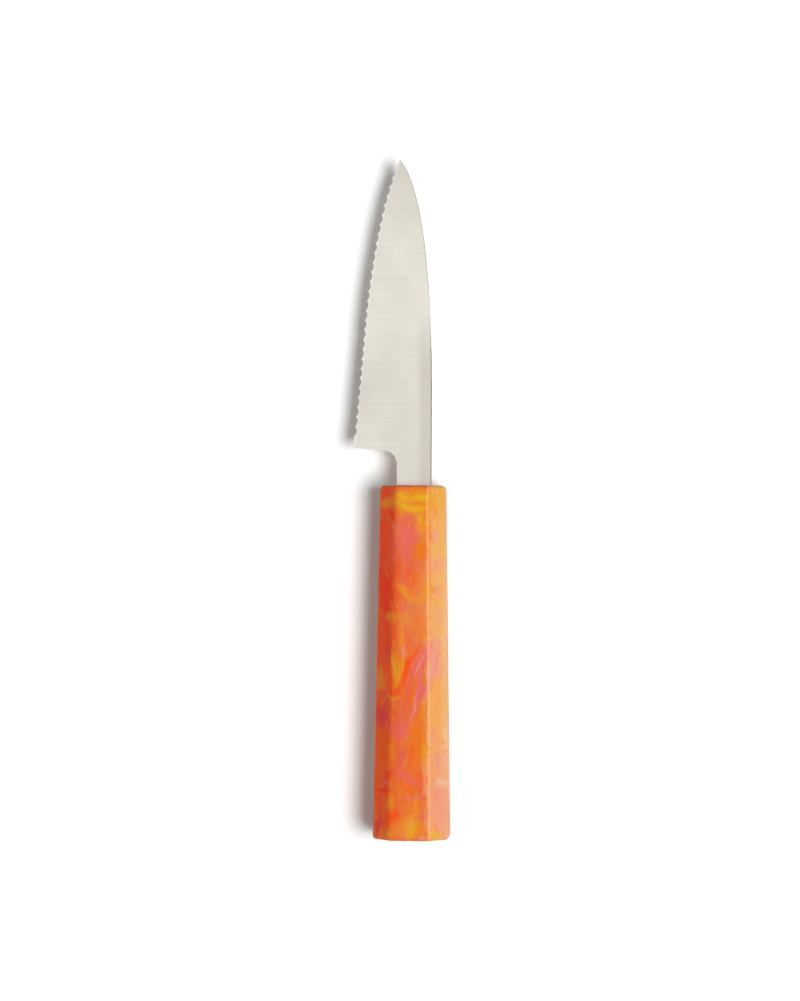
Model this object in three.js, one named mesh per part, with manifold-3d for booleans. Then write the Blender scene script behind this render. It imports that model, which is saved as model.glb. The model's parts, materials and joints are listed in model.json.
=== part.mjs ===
// A serrated petty knife with a hidden tang, in millimetres, +Z up, lying on a flat side of its handle.
//
// The blade, its neck and its tang are one steel blank: cut to its outline, ground on both faces and
// serrated from its reverse face. The tang stands in a blind pocket in an eight-sided plastic handle,
// and a sleeve of cured adhesive fills the pocket round it. Nothing on the knife moves.
//
// Knife frame: +Y runs from the handle to the tip, +X to the spine, and Z is square to the blade.
// y = 0 is the handle's front face, x = 0 the handle's axis and z = 0 the blade's middle plane.

import * as THREE from "three";
import { mergeVertices } from "three/addons/utils/BufferGeometryUtils.js";
import Module from "manifold-3d";

const wasm = await Module();
wasm.setup();

// Handle: an octagon that tapers from the butt to the front, sized before its edges are rounded
const handleLength = 119.7;
const handleFrontWidth = 22.1; // across the spine and belly flats
const handleButtWidth = 25.95;
const handleFrontThickness = 19; // across the two side flats
const handleButtThickness = 21.4;
const handleFrontBevel = 5.7; // leg of each 45 degree bevel
const handleButtBevel = 6.2;
const handleEdgeRadius = 2; // along the eight long edges
const handleFrontRound = 1.5;
const handleButtRound = 1.5;

// Blade outline
const stockThickness = 1.8;
const bladeReach = 110.8; // handle's front to the tip
const spineOffset = 6.1; // axis to the spine
const bladeDepth = 26.7; // spine to the edge, at the heel
const neckDepth = 11.7; // spine to the neck's underside
const neckLength = 12.8; // handle's front to the heel
const notchRadius = 4.8; // inside corner between heel and neck
const tipDrop = 11.3; // spine line to the tip
const edgeAngle = THREE.MathUtils.degToRad(4.9); // straight edge against the spine
const edgeStraight = 45.3; // heel to where the edge starts to curve
const edgeBellyPull = 12.5;
const edgeTipAngle = THREE.MathUtils.degToRad(30);
const edgeTipPull = 12;
const spineStraight = 28.5; // handle's front to where the spine starts to drop
const spineDropPull = 54;
const spineTipAngle = THREE.MathUtils.degToRad(43);
const spineTipPull = 8.5;

// Grind: each face slopes from the flat beside the spine to a thin edge
const edgeThickness = 0.3;
const flatDepthAtHeel = 7.7; // spine to the grind line, at the heel
const flatRunout = 72; // handle's front to where the grind line would reach the spine
const plungeLength = 4; // how fast the grind line leaves the neck

// Serrations: round scallops, ground from the reverse face
const toothPitch = 3.3;
const scallopDepth = 0.78;
const scallopAngle = THREE.MathUtils.degToRad(20);
const heelPlain = 4.05; // plain edge beside the heel
const tipPlain = 2.4; // least plain edge beside the tip

// Tang, adhesive and pocket
const tangLength = 78;
const tangRootWidth = 9.5;
const tangEndWidth = 6.5;
const shoulderDepth = 8; // how far the neck enters the handle at its full depth
const bondLine = 0.4; // thickness of the adhesive
const seatGap = 0.2; // between the adhesive and each piece that it holds
const mouthRecess = 0.3; // handle's front face to the adhesive

// Facets and cutters
const curveSegments = 18;
const roundSegments = 4;
const edgeSegments = 3;
const grindStations = 28;
const wheelSegments = 96;
const wheelLength = 12;
const cutMargin = 3; // how far a cutter runs past what it cuts
const sharpCorner = 0.05; // least corner radius where the handle's ends draw in

const neckUnderside = spineOffset - neckDepth;
const tangAxis = (spineOffset + neckUnderside) / 2;
const heel = new THREE.Vector2(spineOffset - bladeDepth, neckLength);
const tip = new THREE.Vector2(spineOffset - tipDrop, bladeReach);
const edgeRun = new THREE.Vector2(Math.sin(edgeAngle), Math.cos(edgeAngle));
const bellyStart = heel.clone().addScaledVector(edgeRun, edgeStraight);

// The notch's arc touches the heel's back, which is square to the edge, and the neck's underside.
const notchCentre = new THREE.Vector2(neckUnderside - notchRadius, 0);
notchCentre.y =
  heel.y -
  (notchRadius + Math.sin(edgeAngle) * (notchCentre.x - heel.x)) / Math.cos(edgeAngle);

// A closed geometry as a solid, with the vertices that its faces share merged.
function toSolid(geometry) {
  const bare = geometry.clone();
  bare.deleteAttribute("normal");
  bare.deleteAttribute("uv");
  const merged = mergeVertices(bare);
  return new wasm.Manifold(
    new wasm.Mesh({
      numProp: 3,
      vertProperties: new Float32Array(merged.attributes.position.array),
      triVerts: new Uint32Array(merged.index.array),
    }),
  );
}

// A solid as a geometry.
function toGeometry(solid) {
  const mesh = solid.getMesh();
  const geometry = new THREE.BufferGeometry();
  geometry.setAttribute("position", new THREE.BufferAttribute(mesh.vertProperties, 3));
  geometry.setIndex(new THREE.BufferAttribute(mesh.triVerts, 1));
  geometry.computeVertexNormals();
  return geometry;
}

// A solid through rings of equally many points, with flat ends. The rings follow each other along +Y,
// and each is wound from +X to +Z.
function loft(rings) {
  const count = rings[0].length;
  const last = (rings.length - 1) * count;
  const indices = [];
  for (let start = 0; start < last; start += count) {
    for (let j = 0; j < count; j++) {
      const a = start + j;
      const b = start + ((j + 1) % count);
      indices.push(a, a + count, b + count, a, b + count, b);
    }
  }
  for (let j = 1; j < count - 1; j++) {
    indices.push(0, j, j + 1, last, last + j + 1, last + j);
  }
  const geometry = new THREE.BufferGeometry().setFromPoints(rings.flat());
  geometry.setIndex(indices);
  return toSolid(geometry);
}

// A plate with that outline, with its middle plane at z = 0.
function plate(shape, thickness) {
  const geometry = new THREE.ExtrudeGeometry(shape, {
    depth: thickness,
    bevelEnabled: false,
    curveSegments,
  });
  return toSolid(geometry.translate(0, 0, -thickness / 2));
}

// The cutting edge before it is serrated, from the heel to the tip.
function edgeLine() {
  const path = new THREE.CurvePath();
  path.add(new THREE.LineCurve(heel, bellyStart));
  const tipRun = new THREE.Vector2(Math.sin(edgeTipAngle), Math.cos(edgeTipAngle));
  path.add(
    new THREE.CubicBezierCurve(
      bellyStart,
      bellyStart.clone().addScaledVector(edgeRun, edgeBellyPull),
      tip.clone().addScaledVector(tipRun, -edgeTipPull),
      tip,
    ),
  );
  return path;
}

// The tang's outline inside the handle, widened all round by grow: down its spine side, round its end
// and up its belly side.
function addTang(shape, grow) {
  const neckHalf = neckDepth / 2 + grow;
  const rootHalf = tangRootWidth / 2 + grow;
  const endHalf = tangEndWidth / 2 + grow;
  const shoulder = -shoulderDepth - grow;
  const endCentre = tangEndWidth / 2 - tangLength;
  shape.lineTo(tangAxis + neckHalf, shoulder);
  shape.lineTo(tangAxis + rootHalf, shoulder);
  shape.lineTo(tangAxis + endHalf, endCentre);
  shape.absarc(tangAxis, endCentre, endHalf, 0, Math.PI, true);
  shape.lineTo(tangAxis - rootHalf, shoulder);
  shape.lineTo(tangAxis - neckHalf, shoulder);
}

// The blank that the blade is ground from: blade, neck and tang.
function blankShape() {
  const shape = new THREE.Shape();
  const edge = edgeLine().curves[1];
  shape.moveTo(neckUnderside, notchCentre.y);
  shape.absarc(notchCentre.x, notchCentre.y, notchRadius, 0, Math.PI / 2 - edgeAngle, false);
  shape.lineTo(heel.x, heel.y);
  shape.lineTo(bellyStart.x, bellyStart.y);
  shape.bezierCurveTo(edge.v1.x, edge.v1.y, edge.v2.x, edge.v2.y, tip.x, tip.y);
  shape.bezierCurveTo(
    tip.x + Math.sin(spineTipAngle) * spineTipPull,
    tip.y - Math.cos(spineTipAngle) * spineTipPull,
    spineOffset,
    spineStraight + spineDropPull,
    spineOffset,
    spineStraight,
  );
  addTang(shape, 0);
  return shape;
}

// Where the grind stops and the flat beside the spine starts, at that distance from the handle. The line
// leaves the neck at the notch, swings up and runs straight towards the spine.
function grindLine(y) {
  const rise = flatDepthAtHeel / (flatRunout - neckLength);
  const straight = (at) => spineOffset - flatDepthAtHeel + rise * (at - neckLength);
  const plunge = straight(notchCentre.y) - neckUnderside;
  return straight(y) - plunge * Math.exp((notchCentre.y - y) / plungeLength);
}

// What the grinder takes off one face: a ruled surface from the thin edge to the grind line, run a little
// past both and past the ends of the blade. Side is 1 for the front face and -1 for the reverse.
function grindCutter(side) {
  const edge = edgeLine();
  const points = edge.getSpacedPoints(grindStations);
  const below = heel.clone().addScaledVector(edgeRun, notchCentre.y - cutMargin - heel.y);
  const beyond = new THREE.Vector2(tip.x, tip.y + cutMargin);
  const thin = edgeThickness / 2;
  const full = stockThickness / 2;
  const rings = [below, ...points, beyond].map((point) => {
    const guide = Math.max(grindLine(point.y), point.x + cutMargin);
    const slope = (full - thin) / (guide - point.x);
    const outer = point.x - cutMargin;
    const inner = guide + cutMargin;
    const ring = [
      new THREE.Vector3(outer, point.y, side * (thin - slope * cutMargin)),
      new THREE.Vector3(inner, point.y, side * (full + slope * cutMargin)),
      new THREE.Vector3(inner, point.y, side * (full + cutMargin)),
      new THREE.Vector3(outer, point.y, side * (full + cutMargin)),
    ];
    return side > 0 ? ring : ring.reverse();
  });
  return loft(rings);
}

// The wheels that grind the scallops. Each is a round bar that leans back under the blade, so that it
// leaves a sharp wave on the front face and a half-moon hollow on the reverse.
function scallopCutters() {
  const edge = edgeLine();
  const length = edge.getLength();
  const count = Math.floor((length - heelPlain - tipPlain) / toothPitch);
  const cutters = [];
  for (let i = 0; i < count; i++) {
    const from = edge.getPointAt((heelPlain + i * toothPitch) / length);
    const to = edge.getPointAt((heelPlain + (i + 1) * toothPitch) / length);
    const chord = to.clone().sub(from);
    const half = chord.length() / 2;
    const along = new THREE.Vector3(chord.x, chord.y, 0).normalize();
    const inward = new THREE.Vector3(along.y, -along.x, 0);
    const lean = scallopDepth * Math.sin(scallopAngle);
    const radius = (half * half + lean * lean) / (2 * lean);
    const axis = inward.clone().multiplyScalar(Math.cos(scallopAngle));
    axis.z = -Math.sin(scallopAngle);
    const away = inward.clone().multiplyScalar(-Math.sin(scallopAngle));
    away.z = -Math.cos(scallopAngle);
    const centre = new THREE.Vector3((from.x + to.x) / 2, (from.y + to.y) / 2, edgeThickness / 2);
    centre.addScaledVector(inward, scallopDepth).addScaledVector(away, radius);
    const wheel = new THREE.CylinderGeometry(radius, radius, wheelLength, wheelSegments);
    wheel.applyMatrix4(new THREE.Matrix4().makeBasis(away, axis, away.clone().cross(axis)));
    cutters.push(toSolid(wheel.translate(centre.x, centre.y, centre.z)));
  }
  return cutters;
}

function bladeGeometry() {
  let blade = plate(blankShape(), stockThickness);
  for (const cutter of [grindCutter(1), grindCutter(-1), ...scallopCutters()]) {
    blade = blade.subtract(cutter);
  }
  return toGeometry(blade);
}

// One ring of the handle at that distance from its front: an octagon drawn in by inset, with its corners
// rounded to radius.
function handleRing(y, inset, radius) {
  const share = -y / handleLength;
  const width = THREE.MathUtils.lerp(handleFrontWidth, handleButtWidth, share);
  const thickness = THREE.MathUtils.lerp(handleFrontThickness, handleButtThickness, share);
  const bevel = THREE.MathUtils.lerp(handleFrontBevel, handleButtBevel, share);
  const shrink = inset + radius;
  const halfWidth = width / 2 - shrink;
  const halfThickness = thickness / 2 - shrink;
  const diagonal = (width + thickness) / 2 - bevel - shrink * Math.SQRT2;
  const ring = [];
  for (let corner = 0; corner < 8; corner++) {
    const besideEdgeFlat = corner % 4 === 0 || corner % 4 === 3;
    const x = besideEdgeFlat ? halfWidth : diagonal - halfThickness;
    const z = besideEdgeFlat ? diagonal - halfWidth : halfThickness;
    const middle = ((corner + 0.5) * Math.PI) / 4;
    const centre = new THREE.Vector3(x * Math.sign(Math.cos(middle)), y, z * Math.sign(Math.sin(middle)));
    for (let j = 0; j <= edgeSegments; j++) {
      const angle = ((corner + j / edgeSegments) * Math.PI) / 4;
      const spoke = new THREE.Vector3(Math.cos(angle), 0, Math.sin(angle));
      ring.push(centre.clone().addScaledVector(spoke, radius));
    }
  }
  return ring;
}

// The rings that round one end of the handle over, from the end face towards its side.
function endRings(end, towardsSide, round) {
  const rings = [];
  for (let j = 0; j <= roundSegments; j++) {
    const turn = ((j / roundSegments) * Math.PI) / 2;
    const inset = round * (1 - Math.sin(turn));
    const y = end + towardsSide * round * (1 - Math.cos(turn));
    rings.push(handleRing(y, inset, Math.max(handleEdgeRadius - inset, sharpCorner)));
  }
  return rings;
}

// The pocket, or the adhesive in it, as a plate round the tang that runs up to that distance from the
// handle's front.
function tangPlate(grow, top) {
  const shape = new THREE.Shape();
  shape.moveTo(tangAxis - neckDepth / 2 - grow, top);
  shape.lineTo(tangAxis + neckDepth / 2 + grow, top);
  addTang(shape, grow);
  return plate(shape, stockThickness + 2 * grow);
}

function handleGeometry() {
  const butt = endRings(-handleLength, 1, handleButtRound);
  const front = endRings(0, -1, handleFrontRound).reverse();
  const pocket = tangPlate(bondLine + 2 * seatGap, cutMargin);
  return toGeometry(loft([...butt, ...front]).subtract(pocket));
}

function adhesiveGeometry() {
  const filled = tangPlate(bondLine + seatGap, -mouthRecess);
  return toGeometry(filled.subtract(tangPlate(seatGap, cutMargin)));
}

const satinSteel = new THREE.MeshStandardMaterial({ color: 0xd6d2c8, roughness: 0.35, metalness: 1 });
const marbledPlastic = new THREE.MeshStandardMaterial({ color: 0xe8743a, roughness: 0.35, metalness: 0 });
const curedAdhesive = new THREE.MeshStandardMaterial({ color: 0xc9a25c, roughness: 0.5, metalness: 0 });

function named(name, geometry, material) {
  const mesh = new THREE.Mesh(geometry, material);
  mesh.name = name;
  return mesh;
}

// The taper tips the knife until a side flat lies level. The middle of that flat is the part's origin.
const knife = new THREE.Group();
knife.rotation.x = -Math.atan((handleButtThickness - handleFrontThickness) / 2 / handleLength);
const middleThickness = (handleFrontThickness + handleButtThickness) / 2;
const restPoint = new THREE.Vector3(0, -handleLength / 2, -middleThickness / 2);
knife.position.copy(restPoint.applyEuler(knife.rotation).negate());
knife.add(
  named("blade", bladeGeometry(), satinSteel),
  named("handle", handleGeometry(), marbledPlastic),
  named("tang_adhesive", adhesiveGeometry(), curedAdhesive),
);

const part = new THREE.Group();
part.add(knife);

export default part;
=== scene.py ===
"""Dresses a serrated petty knife: finer meshes, satin steel, marbled plastic, soft light and a camera.

The knife is modelled in its own frame, in millimetres: +Y from the handle to the tip, +X to the spine,
y = 0 at the handle's front face and z = 0 in the blade's middle plane. Each finished piece is then set
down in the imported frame, in metres, where a side flat of the handle lies on the floor.
"""

import json
import logging
import math
from collections.abc import Callable, Iterator
from contextlib import contextmanager
from dataclasses import dataclass, field
from enum import Enum

import bmesh
import bpy
from mathutils import Matrix, Vector
from mathutils.geometry import interpolate_bezier, intersect_point_line


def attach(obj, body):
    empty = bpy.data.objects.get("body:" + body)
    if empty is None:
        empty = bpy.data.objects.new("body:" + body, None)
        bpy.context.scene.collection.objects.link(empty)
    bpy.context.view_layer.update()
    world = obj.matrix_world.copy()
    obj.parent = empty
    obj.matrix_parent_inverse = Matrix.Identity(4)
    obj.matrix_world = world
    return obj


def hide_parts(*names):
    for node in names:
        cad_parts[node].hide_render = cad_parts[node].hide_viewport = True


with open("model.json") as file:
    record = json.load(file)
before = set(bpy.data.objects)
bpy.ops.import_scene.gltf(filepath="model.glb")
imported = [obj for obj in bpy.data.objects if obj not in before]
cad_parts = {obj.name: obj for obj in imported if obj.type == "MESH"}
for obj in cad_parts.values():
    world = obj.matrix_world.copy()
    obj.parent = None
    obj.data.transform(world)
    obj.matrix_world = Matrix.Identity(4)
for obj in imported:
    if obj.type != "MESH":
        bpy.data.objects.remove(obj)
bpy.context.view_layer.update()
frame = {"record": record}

MM = 0.001
NOISE_MIDDLE = 0.5
STRAIGHT_WITHIN = math.radians(0.02)
log = logging.getLogger("petty_knife")

Colour = tuple[float, float, float, float]
Span = tuple[float, float]


def srgb(red: int, green: int, blue: int) -> Colour:
    """Turns a colour as a screen shows it into the linear colour that a shader takes.

    Args:
        red: Red from 0 to 255.
        green: Green from 0 to 255.
        blue: Blue from 0 to 255.

    Returns:
        The linear colour, with full alpha.
    """
    shares = (red / 255, green / 255, blue / 255)
    low = [share / 12.92 if share <= 0.04045 else ((share + 0.055) / 1.055) ** 2.4 for share in shares]
    return (low[0], low[1], low[2], 1.0)


class Element(Enum):
    """What edit mode selects."""

    VERTICES = "VERT"
    EDGES = "EDGE"
    FACES = "FACE"


class Side(Enum):
    """The blade's two faces, by the sign of their normal's Z."""

    FRONT = 1
    REVERSE = -1


class Bench:
    """What modelling by operators needs: taking a piece in hand, selecting parts of it, cutting it."""

    @staticmethod
    def take(piece: bpy.types.Object) -> None:
        """Makes a piece the only selected object, and the active one."""
        bpy.ops.object.select_all(action="DESELECT")
        piece.select_set(True)
        bpy.context.view_layer.objects.active = piece

    @staticmethod
    @contextmanager
    def selecting(
        piece: bpy.types.Object, element: Element, wanted: Callable[..., bool]
    ) -> Iterator[None]:
        """Opens a piece in edit mode with only the wanted elements selected, and closes it afterwards.

        Args:
            piece: The object to edit.
            element: Whether vertices, edges or faces are chosen.
            wanted: Tells for one vertex, edge or face whether it is selected.
        """
        Bench.take(piece)
        bpy.ops.object.mode_set(mode="EDIT")
        bpy.ops.mesh.select_mode(type=element.value)
        bpy.ops.mesh.select_all(action="DESELECT")
        mesh = bmesh.from_edit_mesh(piece.data)
        mesh.normal_update()
        choices = {
            Element.VERTICES: mesh.verts,
            Element.EDGES: mesh.edges,
            Element.FACES: mesh.faces,
        }
        for choice in [choice for choice in choices[element] if wanted(choice)]:
            choice.select_set(True)
        bmesh.update_edit_mesh(piece.data)
        yield
        bpy.ops.object.mode_set(mode="OBJECT")

    @staticmethod
    def cut(piece: bpy.types.Object, cutter: bpy.types.Object) -> None:
        """Cuts a cutter's shape out of a piece, and throws the cutter away."""
        Bench.take(piece)
        bpy.ops.object.modifier_add(type="BOOLEAN")
        modifier = piece.modifiers[-1]
        modifier.operation = "DIFFERENCE"
        modifier.solver = "EXACT"
        modifier.object = cutter
        bpy.ops.object.modifier_apply(modifier=modifier.name)
        bpy.data.objects.remove(cutter)

    @staticmethod
    def close(piece: bpy.types.Object, merge: float = 1e-4) -> None:
        """Merges a piece's doubled vertices and turns its faces outwards."""
        with Bench.selecting(piece, Element.VERTICES, lambda vertex: True):
            bpy.ops.mesh.remove_doubles(threshold=merge)
            bpy.ops.mesh.dissolve_degenerate(threshold=merge)
            bpy.ops.mesh.normals_make_consistent(inside=False)

    @staticmethod
    def straighten(piece: bpy.types.Object, within: float) -> None:
        """Dissolves vertices that only part an edge and hardly bend it, and no two beside each other.

        Args:
            piece: The object to edit.
            within: How near such a vertex lies to the line between its two neighbours.
        """

        def is_idle(vertex: bmesh.types.BMVert) -> bool:
            """Tells whether a vertex lies on the line between the only two that it joins."""
            if len(vertex.link_edges) != 2:
                return False
            ends = [edge.other_vert(vertex).co for edge in vertex.link_edges]
            foot, _ = intersect_point_line(vertex.co, *ends)
            return (vertex.co - foot).length < within

        def is_first(vertex: bmesh.types.BMVert) -> bool:
            """Tells whether a vertex is idle and comes before each neighbour that is."""
            others = [edge.other_vert(vertex) for edge in vertex.link_edges]
            before = [other for other in others if other.index < vertex.index]
            return is_idle(vertex) and not any(map(is_idle, before))

        with Bench.selecting(piece, Element.VERTICES, is_first):
            bpy.ops.mesh.dissolve_verts()

    @staticmethod
    def smooth(piece: bpy.types.Object, degrees: float) -> None:
        """Shades a piece smooth across edges up to an angle, with its large faces kept flat."""
        Bench.take(piece)
        bpy.ops.object.shade_smooth_by_angle(angle=math.radians(degrees))
        bpy.ops.object.modifier_add(type="WEIGHTED_NORMAL")
        modifier = piece.modifiers[-1]
        modifier.keep_sharp = True
        bpy.ops.object.modifier_apply(modifier=modifier.name)


@dataclass(frozen=True)
class Knot:
    """A point of an outline, with the pulls that bend the line before and after it."""

    at: Vector
    before: Vector = Vector((0, 0))
    after: Vector = Vector((0, 0))


def arc(centre: Vector, radius: float, start: float, end: float) -> list[Knot]:
    """Lays an arc of a quarter turn or less as two knots.

    Args:
        centre: The arc's centre.
        radius: The arc's radius.
        start: The angle where it starts, from +X, in radians.
        end: The angle where it ends.

    Returns:
        The knots at the arc's two ends.
    """
    pull = 4 / 3 * math.tan((end - start) / 4) * radius
    knots = []
    for angle, share in ((start, (0, 1)), (end, (-1, 0))):
        spoke = Vector((math.cos(angle), math.sin(angle)))
        run = Vector((-spoke.y, spoke.x)) * pull
        knots.append(Knot(centre + spoke * radius, run * share[0], run * share[1]))
    return knots


def plate(name: str, outline: list[Knot], thickness: float, steps: int = 24) -> bpy.types.Object:
    """Models a flat plate: a closed curve, made a face and extruded.

    Args:
        name: The plate's name.
        outline: The knots of its outline, in order.
        thickness: Its thickness, half on each side of z = 0.
        steps: How many straight steps a bent stretch gets.

    Returns:
        The closed plate.
    """
    bpy.ops.object.select_all(action="DESELECT")
    bpy.ops.curve.primitive_bezier_curve_add()
    piece = bpy.context.object
    piece.name = name
    spline = piece.data.splines[0]
    spline.bezier_points.add(len(outline) - len(spline.bezier_points))
    for point, knot in zip(spline.bezier_points, outline):
        point.handle_left_type = "FREE"
        point.handle_right_type = "FREE"
        point.co = knot.at.to_3d()
        point.handle_left = (knot.at + knot.before).to_3d()
        point.handle_right = (knot.at + knot.after).to_3d()
    spline.use_cyclic_u = True
    spline.resolution_u = steps
    bpy.ops.object.convert(target="MESH")
    half = Vector((0, 0, thickness / 2))
    with Bench.selecting(piece, Element.VERTICES, lambda vertex: True):
        bpy.ops.mesh.dissolve_limited(angle_limit=STRAIGHT_WITHIN)
        bpy.ops.mesh.select_all(action="SELECT")
        bpy.ops.mesh.edge_face_add()
        bpy.ops.transform.translate(value=-half)
        bpy.ops.mesh.extrude_region_move(TRANSFORM_OT_translate={"value": half * 2})
    Bench.close(piece)
    return piece


class Trail:
    """A line through points in a plane, measured along its length."""

    def __init__(self, points: list[Vector]) -> None:
        """Keeps the points and how far along each lies."""
        self.points = points
        self.marks = [0.0]
        for last, point in zip(points, points[1:]):
            self.marks.append(self.marks[-1] + (point - last).length)

    @property
    def length(self) -> float:
        """The whole length."""
        return self.marks[-1]

    def at(self, distance: float) -> Vector:
        """Finds a point along the trail, or on its first or last stretch run on.

        Args:
            distance: How far along it lies, less than 0 before the start.

        Returns:
            The point.
        """
        last = len(self.marks) - 1
        index = next((i for i in range(1, last) if self.marks[i] > distance), last)
        share = (distance - self.marks[index - 1]) / (self.marks[index] - self.marks[index - 1])
        return self.points[index - 1].lerp(self.points[index], share)

    def x_at(self, y: float) -> float:
        """Finds where the trail, which climbs steadily, stands at that height.

        Args:
            y: The height.

        Returns:
            The trail's x there, on its end stretches run on where it doesn't reach.
        """
        last = len(self.points) - 1
        index = next((i for i in range(1, last) if self.points[i].y > y), last)
        low, high = self.points[index - 1], self.points[index]
        return low.x + (high.x - low.x) * (y - low.y) / (high.y - low.y)


@dataclass(frozen=True)
class Seat:
    """How the knife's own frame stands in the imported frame."""

    tilt: float
    offset: Vector

    def matrix(self) -> Matrix:
        """Gives the matrix from the knife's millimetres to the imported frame's metres."""
        turn = Matrix.Rotation(self.tilt, 4, "X")
        return Matrix.Translation(self.offset * MM) @ turn @ Matrix.Scale(MM, 4)

    def set_down(self, piece: bpy.types.Object) -> None:
        """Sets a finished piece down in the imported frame, with its place in its mesh."""
        piece.matrix_world = self.matrix()
        Bench.take(piece)
        bpy.ops.object.transform_apply(location=True, rotation=True, scale=True)


@dataclass(frozen=True)
class Grain:
    """A noise in the knife's frame, in waves per millimetre across the knife and along it."""

    across: float
    along: float
    detail: float = 2.0
    rough: float = 0.5
    push: float = 0.0


class Signal:
    """A shader value whose arithmetic adds Math nodes to its graph."""

    def __init__(self, graph: "Graph", socket: bpy.types.NodeSocket) -> None:
        """Wraps an output socket of a graph."""
        self.graph = graph
        self.socket = socket

    def _math(self, operation: str, first: "Signal | float", second: "Signal | float") -> "Signal":
        """Adds a Math node on two values and gives its result."""
        return self.graph.node("ShaderNodeMath", {"operation": operation}, {0: first, 1: second})

    def __add__(self, other: "Signal | float") -> "Signal":
        """Adds a value."""
        return self._math("ADD", self, other)

    def __radd__(self, other: float) -> "Signal":
        """Adds to a number."""
        return self._math("ADD", other, self)

    def __sub__(self, other: "Signal | float") -> "Signal":
        """Takes a value away."""
        return self._math("SUBTRACT", self, other)

    def __rsub__(self, other: float) -> "Signal":
        """Takes this away from a number."""
        return self._math("SUBTRACT", other, self)

    def __mul__(self, other: "Signal | float") -> "Signal":
        """Multiplies by a value."""
        return self._math("MULTIPLY", self, other)

    def __rmul__(self, other: float) -> "Signal":
        """Multiplies a number."""
        return self._math("MULTIPLY", other, self)


class Graph:
    """A node tree that is written as expressions."""

    def __init__(self, tree: bpy.types.NodeTree) -> None:
        """Takes over a tree and empties it."""
        self.tree = tree
        self.tree.nodes.clear()

    @classmethod
    def of_material(cls, name: str) -> tuple["Graph", bpy.types.Material]:
        """Makes a new material with an empty graph.

        Args:
            name: The material's name.

        Returns:
            The graph and the material.
        """
        material = bpy.data.materials.new(name)
        material.use_nodes = True
        return cls(material.node_tree), material

    def node(
        self,
        kind: str,
        settings: dict[str, object] | None = None,
        inputs: dict[str | int, object] | None = None,
        output: str | int = 0,
    ) -> Signal:
        """Adds a node.

        Args:
            kind: The node's type.
            settings: Its properties, set first. A ramp's "stops" are pairs of place and colour.
            inputs: The values or signals of its sockets, by name or number.
            output: Which of its outputs is wanted.

        Returns:
            That output.
        """
        made = self.tree.nodes.new(kind)
        for key, value in (settings or {}).items():
            if key == "stops":
                self._set_stops(made.color_ramp, value)
            else:
                setattr(made, key, value)
        for key, value in (inputs or {}).items():
            if isinstance(value, Signal):
                self.tree.links.new(value.socket, made.inputs[key])
            else:
                made.inputs[key].default_value = value
        return Signal(self, made.outputs[output])

    @staticmethod
    def _set_stops(ramp: bpy.types.ColorRamp, stops: list[tuple[float, Colour]]) -> None:
        """Gives a ramp its stops, in place of the two that it comes with."""
        while len(ramp.elements) < len(stops):
            ramp.elements.new(1.0)
        for element, (place, colour) in zip(ramp.elements, stops):
            element.position = place
            element.color = colour

    def knife_place(self, seat: Seat) -> Signal:
        """Gives the place on the piece in the knife's own frame, in millimetres."""
        back = seat.matrix().inverted()
        place = self.node("ShaderNodeTexCoord", output="Object")
        inputs = {
            "Vector": place,
            "Location": back.to_translation(),
            "Rotation": (-seat.tilt, 0, 0),
            "Scale": (1 / MM, 1 / MM, 1 / MM),
        }
        return self.node("ShaderNodeMapping", {"vector_type": "POINT"}, inputs)

    def vector(self, operation: str, first: Signal, second: Signal | tuple[float, ...]) -> Signal:
        """Adds a Vector Math node on two vectors or colours."""
        return self.node("ShaderNodeVectorMath", {"operation": operation}, {0: first, 1: second})

    def length(self, vector: Signal) -> Signal:
        """Measures a vector."""
        return self.node("ShaderNodeVectorMath", {"operation": "LENGTH"}, {0: vector}, "Value")

    def axis(self, vector: Signal, name: str) -> Signal:
        """Takes one axis out of a vector."""
        return self.node("ShaderNodeSeparateXYZ", None, {0: vector}, name)

    def attribute(self, name: str) -> Signal:
        """Reads a value that the piece's mesh keeps."""
        return self.node("ShaderNodeAttribute", {"attribute_name": name}, None, "Fac")

    def noise(self, place: Signal, grain: Grain, output: str = "Fac") -> Signal:
        """Adds a noise.

        Args:
            place: The place in the knife's frame.
            grain: How the noise is drawn out, and how fine it is.
            output: Whether its grey or its colour is wanted.

        Returns:
            The noise there.
        """
        drawn_out = self.vector("MULTIPLY", place, (grain.across, grain.along, grain.across))
        inputs = {"Vector": drawn_out, "Scale": 1.0, "Detail": grain.detail, "Roughness": grain.rough}
        return self.node("ShaderNodeTexNoise", None, inputs, output)

    def pushed(self, place: Signal, grain: Grain) -> Signal:
        """Pushes a place about by a noise, by up to half the distance that its grain gives."""
        noise = self.noise(place, grain, "Color")
        centred = self.vector("SUBTRACT", noise, (NOISE_MIDDLE,) * 3)
        return self.vector("ADD", place, self.vector("MULTIPLY", centred, (grain.push,) * 3))

    def bump(self, height: Signal, depth: float, strength: float) -> Signal:
        """Turns a height into a bumped normal, for a relief of a depth in millimetres."""
        inputs = {"Strength": strength, "Distance": depth * MM, "Height": height}
        return self.node("ShaderNodeBump", None, inputs)

    def step(self, value: Signal, low: float, high: float) -> Signal:
        """Runs smoothly from 0 where a value is at low to 1 where it is at high."""
        inputs = {"Value": value, "From Min": low, "From Max": high}
        return self.node("ShaderNodeMapRange", {"interpolation_type": "SMOOTHSTEP"}, inputs)

    def mixed(self, share: Signal | float, first: Signal | Colour, second: Signal | Colour) -> Signal:
        """Mixes two colours by a share of the second."""
        settings = {"data_type": "RGBA", "clamp_factor": True}
        return self.node("ShaderNodeMix", settings, {0: share, 6: first, 7: second}, 2)

    def surface(self, shader: Signal, kind: str = "ShaderNodeOutputMaterial") -> None:
        """Ends the graph in an output node that shows a shader."""
        end = self.tree.nodes.new(kind)
        self.tree.links.new(shader.socket, end.inputs["Surface"])


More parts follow.
